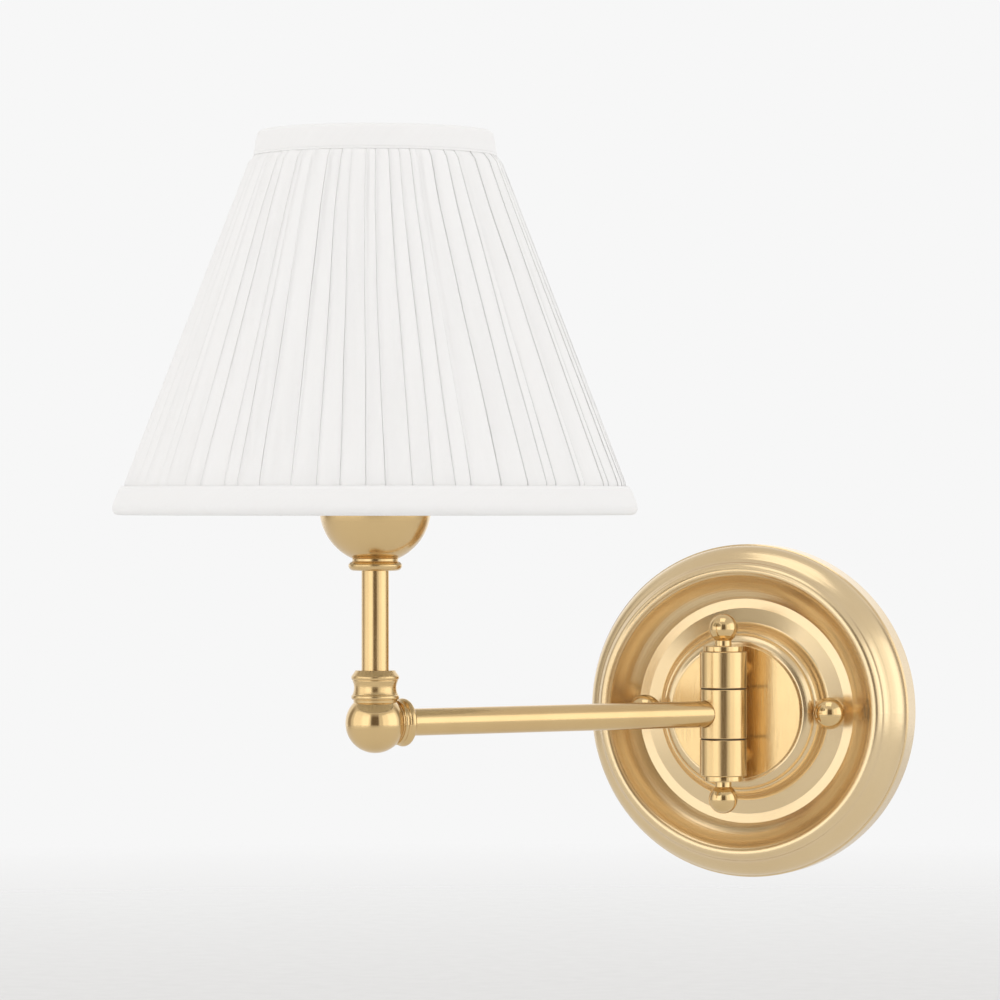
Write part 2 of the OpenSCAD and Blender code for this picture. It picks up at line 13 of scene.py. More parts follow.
import bmesh
import bpy
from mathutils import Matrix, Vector


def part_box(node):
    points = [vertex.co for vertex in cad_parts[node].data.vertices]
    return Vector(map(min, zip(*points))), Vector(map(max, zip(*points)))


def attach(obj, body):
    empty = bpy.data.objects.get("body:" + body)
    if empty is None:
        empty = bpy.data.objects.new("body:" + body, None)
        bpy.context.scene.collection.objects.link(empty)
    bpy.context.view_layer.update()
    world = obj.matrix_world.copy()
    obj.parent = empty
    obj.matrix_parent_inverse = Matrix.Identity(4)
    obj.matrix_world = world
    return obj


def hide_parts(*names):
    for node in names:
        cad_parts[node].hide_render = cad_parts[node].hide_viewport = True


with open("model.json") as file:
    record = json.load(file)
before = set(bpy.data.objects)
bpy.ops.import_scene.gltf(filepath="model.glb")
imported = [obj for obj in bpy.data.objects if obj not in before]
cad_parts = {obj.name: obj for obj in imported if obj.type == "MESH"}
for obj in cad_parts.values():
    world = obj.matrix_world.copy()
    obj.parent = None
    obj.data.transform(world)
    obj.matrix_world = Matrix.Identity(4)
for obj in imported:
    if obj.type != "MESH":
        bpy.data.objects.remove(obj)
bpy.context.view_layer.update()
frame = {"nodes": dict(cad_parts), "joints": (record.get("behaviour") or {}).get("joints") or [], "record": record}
nodes = frame["nodes"]
MM = 0.001


# %% [markdown]
# Places are read from the frame instead of being typed in. Half the width of a round node's box is
# its radius, and the joints say where the arm and the shade turn.

# %% Measure the frame
def radius(node):
    low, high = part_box(node)
    return (high.x - low.x) / 2


joints = {joint["name"]: joint for joint in frame["joints"]}
HINGE = Vector(joints["arm_swing"]["pos_m"])
POST = Vector(joints["shade_turn"]["pos_m"])
POST.z = HINGE.z
ARM_WAY = (POST - HINGE).normalized()
print("hinge", [round(v, 4) for v in HINGE], "post", [round(v, 4) for v in POST])

# %% [markdown]
# The camera comes first, because it decides what matters. It stands level with the shade's lower
# part, two metres away and 21 degrees round to the right, with a long lens, so upright lines stay
# upright and the backplate is seen a little from the side.

# %% Camera
CAMERA_TURN = math.radians(20.8)
CAMERA_HEIGHT = 84.4 * MM
CAMERA_PLACE = (0.628, -1.9436)
SENSOR = 36.0
LENS = 182.3

camera_data = bpy.data.cameras.new("camera")
camera_data.sensor_width = SENSOR
camera_data.lens = LENS
camera_data.clip_start = 0.05
camera = bpy.data.objects.new("camera", camera_data)
camera.location = (*CAMERA_PLACE, CAMERA_HEIGHT)
camera.rotation_euler = (math.radians(90), 0, CAMERA_TURN)
bpy.context.scene.collection.objects.link(camera)
bpy.context.scene.camera = camera
print("camera", [round(v, 3) for v in camera.location], "lens", LENS)

# %% [markdown]
# The light is that of a small studio: two big soft boxes, left and right, and a smaller one above.
# The big ones stand well back, so that the floor round the lamp is lit evenly. Each is aimed at a
# point between the shade and the backplate, and their turns are counted from the camera.

# %% Studio
LIT_POINT = Vector((-0.03, -0.08, 0.06))


def soft_box(name, turn, height, distance, size, power):
    data = bpy.data.lights.new(name, "AREA")
    data.shape = "RECTANGLE"
    data.size, data.size_y = size
    data.energy = power
    light = bpy.data.objects.new(name, data)
    aim = CAMERA_TURN + math.radians(turn)
    light.location = LIT_POINT + Vector((math.sin(aim), -math.cos(aim), 0)) * distance
    light.location.z += height
    toward = LIT_POINT - light.location
    light.rotation_euler = toward.to_track_quat("-Z", "Y").to_euler()
    light.visible_camera = False
    bpy.context.scene.collection.objects.link(light)
    print(name, "at", [round(v, 2) for v in light.location], "with", power, "watts")


soft_box("light_left", -58, 0.5, 3.2, (4.2, 3.4), 20.8)
soft_box("light_right", 62, 0.3, 3.2, (4.0, 3.4), 20.8)
soft_box("light_top", -10, 1.9, 0.6, (1.2, 1.2), 4)


# %% [markdown]
# Polished and satin metal shows mostly what it reflects, so the room round the lamp is drawn in the
# world's own nodes, as brightness by direction. There is a narrow dark gap where the camera stands,
# which draws the dark line down the middle of a tube. On each side of it are a bright panel and a
# duller one, then a thin dark edge, and a pale room behind. Above and below, it fades to an even
# grey, like a ceiling and a table. The two helpers here work out numbers in any tree of nodes.


# %% Room
def wire_in(tree, socket, given):
    if isinstance(given, bpy.types.NodeSocket):
        tree.links.new(given, socket)
    elif given is not None:
        socket.default_value = given


def calc(tree, operation, first, second=None, third=None):
    node = tree.nodes.new("ShaderNodeMath")
    node.operation = operation
    for socket, given in zip(node.inputs, (first, second, third)):
        wire_in(tree, socket, given)
    return node.outputs[0]


world = bpy.data.worlds.new("studio")
bpy.context.scene.world = world
world.use_nodes = True
room_tree = world.node_tree
room_tree.nodes.clear()
ROOM_BRIGHTNESS = 1.19
PANEL, DULL = (1.0, 1.0, 1.0), (0.74, 0.73, 0.71)
GAP, EDGE = (0.12, 0.09, 0.065), (0.3, 0.27, 0.23)
BEHIND, FAR_BEHIND = (0.86, 0.86, 0.86), (0.9, 0.9, 0.9)
ROOM_STOPS = [
    (-180, FAR_BEHIND), (-134, BEHIND), (-124, EDGE), (-112, EDGE), (-102, DULL), (-58, DULL),
    (-48, PANEL), (-19, PANEL), (-13, GAP), (13, GAP), (19, DULL), (50, DULL),
    (60, PANEL), (102, PANEL), (112, EDGE), (124, EDGE), (134, BEHIND), (180, FAR_BEHIND)]

way = room_tree.nodes.new("ShaderNodeTexCoord")
turned_way = room_tree.nodes.new("ShaderNodeVectorRotate")
turned_way.rotation_type = "Z_AXIS"
turned_way.inputs["Angle"].default_value = -CAMERA_TURN
room_tree.links.new(way.outputs["Generated"], turned_way.inputs["Vector"])
split = room_tree.nodes.new("ShaderNodeSeparateXYZ")
room_tree.links.new(turned_way.outputs["Vector"], split.inputs["Vector"])
side, ahead, rise = split.outputs
around = calc(room_tree, "ARCTAN2", side, calc(room_tree, "MULTIPLY", ahead, -1.0))
around = calc(room_tree, "ADD", calc(room_tree, "DIVIDE", around, math.tau), 0.5)
walls = room_tree.nodes.new("ShaderNodeValToRGB")
stops = walls.color_ramp.elements
for number, (degrees, color) in enumerate(ROOM_STOPS):
    place = degrees / 360 + 0.5
    stop = stops[0] if number == 0 else stops.new(place)
    stop.position = place
    stop.color = (*color, 1)
room_tree.links.new(around, walls.inputs["Fac"])
print("room drawn with", len(stops), "stops")

# %% [markdown]
# The walls fade to the ceiling's grey as a direction rises or falls. The camera sees an even pale
# backdrop, whatever the metal sees, as if the paper behind the lamp were lit by itself.

# %% Backdrop
BACKDROP_BRIGHTNESS = 0.93
ROOM_ABOVE = (0.62, 0.61, 0.60)
WALLS_END, CEILING_STARTS = 0.36, 0.72
height_fade = room_tree.nodes.new("ShaderNodeMapRange")
height_fade.interpolation_type = "SMOOTHSTEP"
height_fade.inputs["From Min"].default_value = WALLS_END
height_fade.inputs["From Max"].default_value = CEILING_STARTS
room_tree.links.new(calc(room_tree, "ABSOLUTE", rise), height_fade.inputs["Value"])
walls_and_ceiling = room_tree.nodes.new("ShaderNodeMix")
walls_and_ceiling.data_type = "RGBA"
mix_inputs = [socket for socket in walls_and_ceiling.inputs if socket.type == "RGBA"]
mix_inputs[1].default_value = (*ROOM_ABOVE, 1)
room_tree.links.new(height_fade.outputs["Result"], walls_and_ceiling.inputs["Factor"])
room_tree.links.new(walls.outputs["Color"], mix_inputs[0])
mixed_room = [socket for socket in walls_and_ceiling.outputs if socket.type == "RGBA"][0]

room = room_tree.nodes.new("ShaderNodeBackground")
room.inputs["Strength"].default_value = ROOM_BRIGHTNESS
room_tree.links.new(mixed_room, room.inputs["Color"])
backdrop = room_tree.nodes.new("ShaderNodeBackground")
backdrop.inputs["Color"].default_value = (1, 1, 1, 1)
backdrop.inputs["Strength"].default_value = BACKDROP_BRIGHTNESS
who_looks = room_tree.nodes.new("ShaderNodeLightPath")
chosen = room_tree.nodes.new("ShaderNodeMixShader")
world_output = room_tree.nodes.new("ShaderNodeOutputWorld")
room_tree.links.new(who_looks.outputs["Is Camera Ray"], chosen.inputs["Fac"])
room_tree.links.new(room.outputs["Background"], chosen.inputs[1])
room_tree.links.new(backdrop.outputs["Background"], chosen.inputs[2])
room_tree.links.new(chosen.outputs["Shader"], world_output.inputs["Surface"])
bpy.context.scene.view_settings.view_transform = "Standard"
print("the backdrop is at", BACKDROP_BRIGHTNESS, "and the room at", ROOM_BRIGHTNESS)


# %% [markdown]
# A finish is a small tree of nodes. These helpers keep each finish short: one makes a material
# with its shader, one adds a node, and one stretches a noise along a direction, which is what
# brushing, spinning and drawing do to metal.

# %% Material helpers
def finish(name, color, roughness, metallic=0.0, **sockets):
    material = bpy.data.materials.new(name)
    material.use_nodes = True
    material.diffuse_color = (*color, 1)
    shader = material.node_tree.nodes["Principled BSDF"]
    shader.inputs["Base Color"].default_value = (*color, 1)
    shader.inputs["Roughness"].default_value = roughness
    shader.inputs["Metallic"].default_value = metallic
    for socket, value in sockets.items():
        shader.inputs[socket.replace("_", " ")].default_value = value
    return material, material.node_tree, shader


def add(tree, kind, **settings):
    node = tree.nodes.new("ShaderNode" + kind)
    for key, value in settings.items():
        if hasattr(node, key):
            setattr(node, key, value)
        else:
            node.inputs[key.replace("_", " ")].default_value = value
    return node


def object_place(tree, scale=(1, 1, 1), place=(0, 0, 0), turn=(0, 0, 0)):
    coordinates = add(tree, "TexCoord")
    mapping = add(tree, "Mapping", vector_type="TEXTURE")
    mapping.inputs["Location"].default_value = place
    mapping.inputs["Rotation"].default_value = turn
    mapping.inputs["Scale"].default_value = scale
    tree.links.new(coordinates.outputs["Object"], mapping.inputs["Vector"])
    return mapping.outputs["Vector"]


def noise(tree, vector, scale, detail=2.0, rough=0.5):
    node = add(tree, "TexNoise", Scale=scale, Detail=detail, Roughness=rough)
    tree.links.new(vector, node.inputs["Vector"])
    return node.outputs["Fac"]


def between(tree, value, low, high, from_low=0.3, from_high=0.7):
    node = add(tree, "MapRange", From_Min=from_low, From_Max=from_high, To_Min=low, To_Max=high)
    tree.links.new(value, node.inputs["Value"])
    return node.outputs["Result"]


def shades(tree, value, dark, light, low=0.3, high=0.7):
    ramp = add(tree, "ValToRGB")
    ramp.color_ramp.elements[0].position = low
    ramp.color_ramp.elements[0].color = (*dark, 1)
    ramp.color_ramp.elements[1].position = high
    ramp.color_ramp.elements[1].color = (*light, 1)
    tree.links.new(value, ramp.inputs["Fac"])
    return ramp.outputs["Color"]


def bump(tree, shader, height, depth, under=None):
    node = add(tree, "Bump", Strength=1.0, Distance=depth)
    tree.links.new(height, node.inputs["Height"])
    if under is not None:
        tree.links.new(under, node.inputs["Normal"])
    tree.links.new(node.outputs["Normal"], shader.inputs["Normal"])
    return node.outputs["Normal"]


# %% [markdown]
# Brass. All the brass is one lacquered alloy, but each piece keeps the marks of how it was made.
# The tone varies slowly over a piece where the lacquer is thicker, and the grain is a fine noise,
# stretched along the way the tool went. The spun plate is a little paler, because it is hollow and
# its colour deepens wherever one side of it reflects another.

# %% Brass
BRASS = (0.74, 0.53, 0.258)
BRASS_DEEP = (0.69, 0.48, 0.225)
PLATE_BRASS = (0.80, 0.622, 0.37)
PLATE_DEEP = (0.765, 0.58, 0.33)


def brass(name, roughness, grain_scale, grain_depth, turn=(0, 0, 0), place=(0, 0, 0), spread=0.05):
    material, tree, shader = finish(
        name, BRASS, roughness, metallic=0.93, Coat_Weight=0.25, Coat_Roughness=0.16)
    slow = noise(tree, object_place(tree), 28, detail=3)
    tree.links.new(shades(tree, slow, BRASS_DEEP, BRASS, 0.25, 0.6), shader.inputs["Base Color"])
    grain_way = object_place(tree, scale=grain_scale, place=place, turn=turn)
    grain = noise(tree, grain_way, 1.0, detail=3, rough=0.6)
    tree.links.new(
        between(tree, grain, roughness - spread, roughness + spread), shader.inputs["Roughness"])
    bump(tree, shader, grain, grain_depth)
    return material


arm_turn = math.atan2(ARM_WAY.y, ARM_WAY.x)
satin_upright = brass("satin_brass_upright", 0.19, (0.25 * MM, 0.25 * MM, 9 * MM), 0.006 * MM)
satin_round = brass("satin_brass_turned", 0.19, (5 * MM, 5 * MM, 0.22 * MM), 0.006 * MM)
satin_arm = brass(
    "satin_brass_arm", 0.19, (9 * MM, 0.25 * MM, 0.25 * MM), 0.006 * MM, (0, 0, arm_turn), HINGE)
polished = brass("polished_brass", 0.1, (0.8 * MM, 0.8 * MM, 0.8 * MM), 0.002 * MM, spread=0.03)
brushed_disc = brass("brushed_brass_disc", 0.2, (0.2 * MM, 2 * MM, 16 * MM), 0.016 * MM, spread=0.09)


def spun_brass():
    material, tree, shader = finish(
        "spun_brass", PLATE_BRASS, 0.2, metallic=0.84, Coat_Weight=0.25, Coat_Roughness=0.12)
    slow = noise(tree, object_place(tree), 22, detail=3)
    tree.links.new(shades(tree, slow, PLATE_DEEP, PLATE_BRASS, 0.25, 0.6), shader.inputs["Base Color"])
    coordinates = add(tree, "TexCoord")
    across = add(tree, "VectorMath", operation="MULTIPLY")
    across.inputs[1].default_value = (1, 0, 1)
    tree.links.new(coordinates.outputs["Object"], across.inputs[0])
    length = add(tree, "VectorMath", operation="LENGTH")
    tree.links.new(across.outputs["Vector"], length.inputs[0])
    rings = add(tree, "TexNoise", noise_dimensions="1D", Scale=4200, Detail=3, Roughness=0.6)
    tree.links.new(length.outputs["Value"], rings.inputs["W"])
    tree.links.new(between(tree, rings.outputs["Fac"], 0.17, 0.25), shader.inputs["Roughness"])
    bump(tree, shader, rings.outputs["Fac"], 0.0035 * MM)
    return material


spun = spun_brass()
print("six brass finishes, with the arm's grain turned", round(math.degrees(arm_turn), 1), "degrees")

# %% [markdown]
# The other finishes are the plain ones of a lamp's insides: zinc plated steel, moulded phenolic,
# nylon, pressed fibre, enamelled wire, a frosted bulb and its rolled cap.


# %% Plain finishes
def plain(name, color, roughness, scale, depth, metallic=0.0, tint=0.85, **sockets):
    material, tree, shader = finish(name, color, roughness, metallic, **sockets)
    mottle = noise(tree, object_place(tree), scale, detail=4)
    dark = tuple(c * tint for c in color)
    tree.links.new(shades(tree, mottle, dark, color), shader.inputs["Base Color"])
    tree.links.new(between(tree, mottle, roughness * 0.85, roughness * 1.1), shader.inputs["Roughness"])
    bump(tree, shader, mottle, depth)
    return material


zinc = plain("zinc_steel", (0.62, 0.63, 0.64), 0.34, 260, 0.01 * MM, metallic=1.0)
raw_brass = plain("raw_brass", (0.78, 0.62, 0.30), 0.30, 300, 0.006 * MM, metallic=1.0)
bulb_cap = plain("bulb_cap", (0.78, 0.78, 0.77), 0.28, 300, 0.006 * MM, metallic=1.0)
phenolic = plain("phenolic", (0.028, 0.022, 0.020), 0.38, 420, 0.01 * MM, tint=0.6)
nylon = plain("nylon", (0.82, 0.80, 0.72), 0.5, 300, 0.01 * MM, tint=0.93)
fibre = plain("fibre", (0.10, 0.065, 0.04), 0.75, 900, 0.03 * MM, tint=0.6)
insulation = plain("wire_insulation", (0.03, 0.03, 0.03), 0.45, 500, 0.01 * MM, tint=0.7)
enamel = plain("white_frame_wire", (0.80, 0.80, 0.78), 0.35, 350, 0.01 * MM, tint=0.94)
green = plain("ground_green", (0.03, 0.20, 0.08), 0.35, 300, 0.01 * MM, metallic=0.7)
frosted = plain("bulb_glass", (0.86, 0.86, 0.84), 0.22, 40, 0.01 * MM, tint=0.98, Coat_Weight=0.6)
cloth_plain = plain("cloth_plain", (0.80, 0.79, 0.785), 0.9, 800, 0.02 * MM, tint=0.97)

finishes = {
    "satin_brass": satin_upright,
    "spun_brass": spun,
    "polished_brass": polished,
    "brushed_brass_disc": brushed_disc,
    "raw_brass": raw_brass,
    "zinc_steel": zinc,
    "ground_green": green,
    "nylon": nylon,
    "fibre": fibre,
    "wire_insulation": insulation,
    "phenolic": phenolic,
    "bulb_cap": bulb_cap,
    "bulb_glass": frosted,
    "white_frame_wire": enamel,
    "liner_film": cloth_plain,
    "pleated_cloth": cloth_plain,
    "trim_cloth": cloth_plain,
}
for part in frame["record"]["subparts"]:
    mesh = nodes[part["node"]].data
    mesh.materials.clear()
    mesh.materials.append(finishes[part["material_slot"]])
nodes["arm_tube"].data.materials[0] = satin_arm
for turned in ("elbow_collar", "post_collar", "cup_ring", "socket_cup", "cup_lock_nut"):
    nodes[turned].data.materials[0] = satin_round

# %% [markdown]
# No edge on a turned or sawn piece is truly sharp: it is broken with a file or a polishing wheel,
# and that narrow edge is what catches the light. The frame's pieces have sharp edges, so the ones
# that show are copied, their loose triangles are joined, and their corners get a small bevel.


# %% Broken edges
bodies = frame["record"]["behaviour"]["bodies"]


def eased(node, width, material, corner=32):
    source = nodes[node]
    builder = bmesh.new()
    builder.from_mesh(source.data)
    bmesh.ops.remove_doubles(builder, verts=builder.verts, dist=2e-6)
    bmesh.ops.dissolve_limit(
        builder, angle_limit=math.radians(0.6), verts=builder.verts, edges=builder.edges)
    corners = [
        edge for edge in builder.edges
        if edge.is_manifold and edge.calc_face_angle(0) > math.radians(corner)]
    bmesh.ops.bevel(
        builder, geom=corners, offset=width, offset_type="OFFSET", segments=2, profile=0.6,
        affect="EDGES", clamp_overlap=False)
    for face in builder.faces:
        face.smooth = True
    mesh = bpy.data.meshes.new(node + "_eased")
    builder.to_mesh(mesh)
    builder.free()
    mesh.set_sharp_from_angle(angle=math.radians(50))
    mesh.materials.append(material)
    piece = bpy.data.objects.new(node + "_eased", mesh)
    shading = piece.modifiers.new("flat_faces", "WEIGHTED_NORMAL")
    shading.keep_sharp = True
    shading.weight = 60
    bpy.context.scene.collection.objects.link(piece)
    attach(piece, next(body for body, members in bodies.items() if node in members))
    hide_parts(node)
    print(piece.name, len(corners), "edges eased,", len(mesh.polygons), "faces")


eased("centre_disc", 0.3 * MM, brushed_disc)
for node in ("upper_knuckle", "middle_knuckle", "lower_knuckle"):
    eased(node, 0.3 * MM, satin_upright)
for node in ("top_finial", "bottom_finial"):
    eased(node, 0.25 * MM, polished)
eased("ball_nuts", 0.2 * MM, polished)
eased("socket_cup", 0.2 * MM, satin_round)
eased("cup_ring", 0.15 * MM, satin_round)
eased("crossbar", 0.25 * MM, zinc)

# %% [markdown]
# The shade's cover is a strip of thin cotton folded into knife pleats, narrow at the top ring and
# wider at the bottom one. Hundreds of folds that follow one rule are work for Geometry Nodes: a
# flat grid has a fixed number of columns for each pleat, and every point is moved to its place on
# the cone. Across a pleat the cloth runs out from the root to an outer edge, folds there, and
# comes back under itself to the next root, so the layers lie on each other like shingles. The
# cloth is as long at the top as at the bottom, so the folds overlap more where the cone is narrow.


# %% Node helpers for the pleats
def step(tree, kind, output=0, settings=None, **inputs):
    node = tree.nodes.new(kind)
    for key, value in (settings or {}).items():
        setattr(node, key, value)
    for key, given in inputs.items():
        wire_in(tree, node.inputs[key.replace("_", " ")], given)
    return node.outputs[output]


def shape_curve(tree, value, points):
    node = tree.nodes.new("ShaderNodeFloatCurve")
    curve = node.mapping.curves[0]
    curve.points[0].location = points[0]
    curve.points[1].location = points[-1]
    for point in points[1:-1]:
        curve.points.new(*point)
    for point in curve.points:
        point.handle_type = "VECTOR"
    node.mapping.update()
    tree.links.new(value, node.inputs["Value"])
    return node.outputs[0]


def chance(tree, low, high, number, seed):
    node = tree.nodes.new("FunctionNodeRandomValue")
    node.data_type = "FLOAT"
    node.inputs[2].default_value = low
    node.inputs[3].default_value = high
    tree.links.new(number, node.inputs["ID"])
    wire_in(tree, node.inputs["Seed"], seed)
    return node.outputs[1]


# %% [markdown]
# The tree's inputs are the sizes that a shade maker would ask for. The pleats were laid by hand, so
# their widths and how hard they were pressed differ from one to the next: a random number chosen
# by the pleat's own number does that, with a fixed seed, and the last pleat meets the first. FOLD
# says where the outer fold lies, as a share of the way along one pleat's cloth.

# %% The pleat tree
FOLD = 0.75
pleats = bpy.data.node_groups.new("pleats", "GeometryNodeTree")
pleats.is_modifier = True
for title, kind in (
        ("Pleats", "Int"), ("Columns", "Int"), ("Rows", "Int"), ("Seed", "Int"),
        ("Bottom Radius", "Float"), ("Top Radius", "Float"), ("Bottom Height", "Float"),
        ("Top Height", "Float"), ("Depth", "Float"), ("Unevenness", "Float"), ("Tuck", "Float"),
        ("Cloth Per Pleat", "Float"), ("Axis", "Vector"), ("Cloth", "Material")):
    pleats.interface.new_socket(title, in_out="INPUT", socket_type="NodeSocket" + kind)
pleats.interface.new_socket("Geometry", in_out="OUTPUT", socket_type="NodeSocketGeometry")
given = pleats.nodes.new("NodeGroupInput").outputs
result = pleats.nodes.new("NodeGroupOutput")

columns = calc(pleats, "MULTIPLY_ADD", given["Pleats"], given["Columns"], 1)
grid = pleats.nodes.new("GeometryNodeMeshGrid")
wire_in(pleats, grid.inputs["Vertices X"], columns)
wire_in(pleats, grid.inputs["Vertices Y"], given["Rows"])

# Column, row, and the pleat that the column belongs to, all counted from the point's index
index = step(pleats, "GeometryNodeInputIndex")
middle_of = calc(pleats, "ADD", index, 0.5)
column = calc(pleats, "FLOOR", calc(pleats, "DIVIDE", middle_of, given["Rows"]))
row = calc(pleats, "SUBTRACT", index, calc(pleats, "MULTIPLY", column, given["Rows"]))
up = calc(pleats, "DIVIDE", row, calc(pleats, "SUBTRACT", given["Rows"], 1))
up = shape_curve(
    pleats, up, [(0, 0), (0.04, 0.007), (0.08, 0.016), (0.92, 0.974), (0.96, 0.988), (1, 1)])
pleat = calc(
    pleats, "FLOOR", calc(pleats, "DIVIDE", calc(pleats, "ADD", column, 0.5), given["Columns"]))
along = calc(pleats, "DIVIDE", column, given["Columns"])
along = calc(pleats, "SUBTRACT", along, pleat)
this_pleat = calc(pleats, "MODULO", pleat, given["Pleats"])
next_pleat = calc(pleats, "MODULO", calc(pleats, "ADD", pleat, 1), given["Pleats"])
print("the pleat tree counts columns and rows")

# %% [markdown]
# Where two pleats meet is a whole number of pleats round the cone, moved a little by chance, and it
# wanders a little more on its way up. How far the fold reaches over its neighbour comes from the
# cloth in one pleat and the room that it has at that height.

# %% Where each fold lies
DRIFT, DRIFT_APART, DRIFT_RISE = 0.55, 5.37, 1.6
LEAST_REACH, MOST_REACH = 0.06, 0.6
radius_here = calc(
    pleats, "MULTIPLY_ADD", calc(pleats, "SUBTRACT", given["Top Radius"], given["Bottom Radius"]),
    up, given["Bottom Radius"])


def root_of(number, whole):
    place = step(
        pleats, "ShaderNodeCombineXYZ", X=calc(pleats, "MULTIPLY", number, DRIFT_APART),
        Y=calc(pleats, "MULTIPLY", up, DRIFT_RISE))
    drift = step(
        pleats, "ShaderNodeTexNoise", 0, {"noise_dimensions": "2D"},
        Vector=place, Scale=1.0, Detail=1.0)
    drift = calc(pleats, "MULTIPLY", calc(pleats, "SUBTRACT", drift, 0.5), DRIFT)
    shift = calc(pleats, "ADD", chance(pleats, -1.0, 1.0, number, given["Seed"]), drift)
    return calc(pleats, "MULTIPLY_ADD", shift, given["Unevenness"], whole)


root = root_of(this_pleat, pleat)
next_root = root_of(next_pleat, calc(pleats, "ADD", pleat, 1))
pleat_width = calc(pleats, "SUBTRACT", next_root, root)
pitch = calc(pleats, "MULTIPLY", calc(pleats, "DIVIDE", radius_here, given["Pleats"]), math.tau)
reach = calc(
    pleats, "MULTIPLY", calc(pleats, "SUBTRACT", calc(
        pleats, "DIVIDE", given["Cloth Per Pleat"], pitch), 1), 0.5)
reach = calc(pleats, "MINIMUM", calc(pleats, "MAXIMUM", reach, LEAST_REACH), MOST_REACH)
face = shape_curve(pleats, along, [(0, 0), (FOLD, 1), (1, 1)])
under = shape_curve(
    pleats, along, [(0, 0), (FOLD - 0.03, 0.98), (FOLD, 1), (FOLD + 0.04, 0.96), (1, 0)])
across = calc(pleats, "MULTIPLY_ADD", under, reach, face)
place = calc(pleats, "MULTIPLY_ADD", across, pleat_width, root)
turn = calc(pleats, "MULTIPLY", calc(pleats, "DIVIDE", place, given["Pleats"]), -math.tau)
print("each fold reaches between", LEAST_REACH, "and", MOST_REACH, "of a pleat over the next")

# %% [markdown]
# How high the cloth stands comes from a second curve, which rounds the outer edge of the fold and
# lets it down on its neighbour. Some pleats were pressed flatter than others. A fine noise, drawn
# out along the height, adds the small creases of thin cotton. At both ends, the cloth is tucked in
# to go behind the tapes.

# %% How far out the cloth stands
CREASES_PER_METRE, CREASE_DRAWN_OUT, CREASE_HEIGHT, CREASE_SINK = 420.0, 0.04, 0.42, 0.12
height = calc(
    pleats, "MULTIPLY_ADD", calc(pleats, "SUBTRACT", given["Top Height"], given["Bottom Height"]),
    up, given["Bottom Height"])
lift = shape_curve(pleats, along, [
    (0, 0), (0.12, 0.12), (0.3, 0.5), (0.45, 0.82), (0.54, 0.97), (0.6, 1.0), (0.65, 0.92),
    (0.7, 0.68), (FOLD, 0.36), (FOLD + 0.05, 0.24), (1, 0)])
pressed = chance(pleats, 0.45, 1.0, this_pleat, calc(pleats, "ADD", given["Seed"], 7))
lift = calc(pleats, "MULTIPLY", lift, pressed)
out = calc(pleats, "MULTIPLY_ADD", calc(pleats, "SUBTRACT", lift, 1), given["Depth"], radius_here)
flat_place = step(
    pleats, "ShaderNodeCombineXYZ", X=calc(pleats, "MULTIPLY", out, calc(pleats, "COSINE", turn)),
    Y=calc(pleats, "MULTIPLY", out, calc(pleats, "SINE", turn)),
    Z=calc(pleats, "MULTIPLY", height, CREASE_DRAWN_OUT))
crease = step(
    pleats, "ShaderNodeTexNoise", 0, {}, Vector=flat_place, Scale=CREASES_PER_METRE, Detail=2.0,
    Roughness=0.5)
crease_height = calc(pleats, "MULTIPLY", given["Depth"], CREASE_HEIGHT)
crease_sink = calc(pleats, "MULTIPLY", given["Depth"], CREASE_SINK)
out = calc(
    pleats, "MULTIPLY_ADD", calc(pleats, "SUBTRACT", crease, 0.5), crease_height,
    calc(pleats, "SUBTRACT", out, crease_sink))
tucked = shape_curve(
    pleats, up, [(0, 0.35), (0.008, 0.32), (0.014, 0), (0.981, 0), (0.990, 0.92), (1, 1)])
out = calc(pleats, "SUBTRACT", out, calc(pleats, "MULTIPLY", tucked, given["Tuck"]))
print("the cloth's distance from the axis is set")

# %% [markdown]
# The points go to their places, the first column and the last are joined, and the cloth gets a
# flat map in metres, round the shade and up it, for its weave.

# %% The folded cloth
position = step(
    pleats, "ShaderNodeCombineXYZ", X=calc(pleats, "MULTIPLY", out, calc(pleats, "COSINE", turn)),
    Y=calc(pleats, "MULTIPLY", out, calc(pleats, "SINE", turn)), Z=height)
position = step(pleats, "ShaderNodeVectorMath", 0, {"operation": "ADD"}, Vector=position)
pleats.links.new(given["Axis"], position.node.inputs[1])
moved = step(pleats, "GeometryNodeSetPosition", Geometry=grid.outputs["Mesh"], Position=position)
cloth_map = step(
    pleats, "ShaderNodeCombineXYZ", X=calc(
        pleats, "MULTIPLY", calc(pleats, "DIVIDE", column, given["Columns"]), given["Cloth Per Pleat"]),
    Y=height)
mapped = pleats.nodes.new("GeometryNodeStoreNamedAttribute")
mapped.data_type = "FLOAT2"
mapped.domain = "CORNER"
mapped.inputs["Name"].default_value = "UVMap"
pleats.links.new(moved, mapped.inputs["Geometry"])
pleats.links.new(cloth_map, mapped.inputs["Value"])
joined = step(
    pleats, "GeometryNodeMergeByDistance", Geometry=mapped.outputs["Geometry"], Distance=1e-6)
facing = step(pleats, "GeometryNodeFlipFaces", Mesh=joined)
smooth = step(pleats, "GeometryNodeSetShadeSmooth", Geometry=facing)
real = step(pleats, "GeometryNodeRealizeInstances", Geometry=smooth)
painted = step(pleats, "GeometryNodeSetMaterial", Geometry=real, Material=given["Cloth"])
pleats.links.new(painted, result.inputs["Geometry"])
print("the pleat tree has", len(pleats.nodes), "nodes")

# %% [markdown]
# The tree becomes a mesh here. The modifier's inputs are set by each socket's identifier, and the
# result is copied out and the modifier taken off, so that the piece is plain geometry. A second
# helper gives a sheet its thickness, on the inner side, because the outer one is where it belongs.


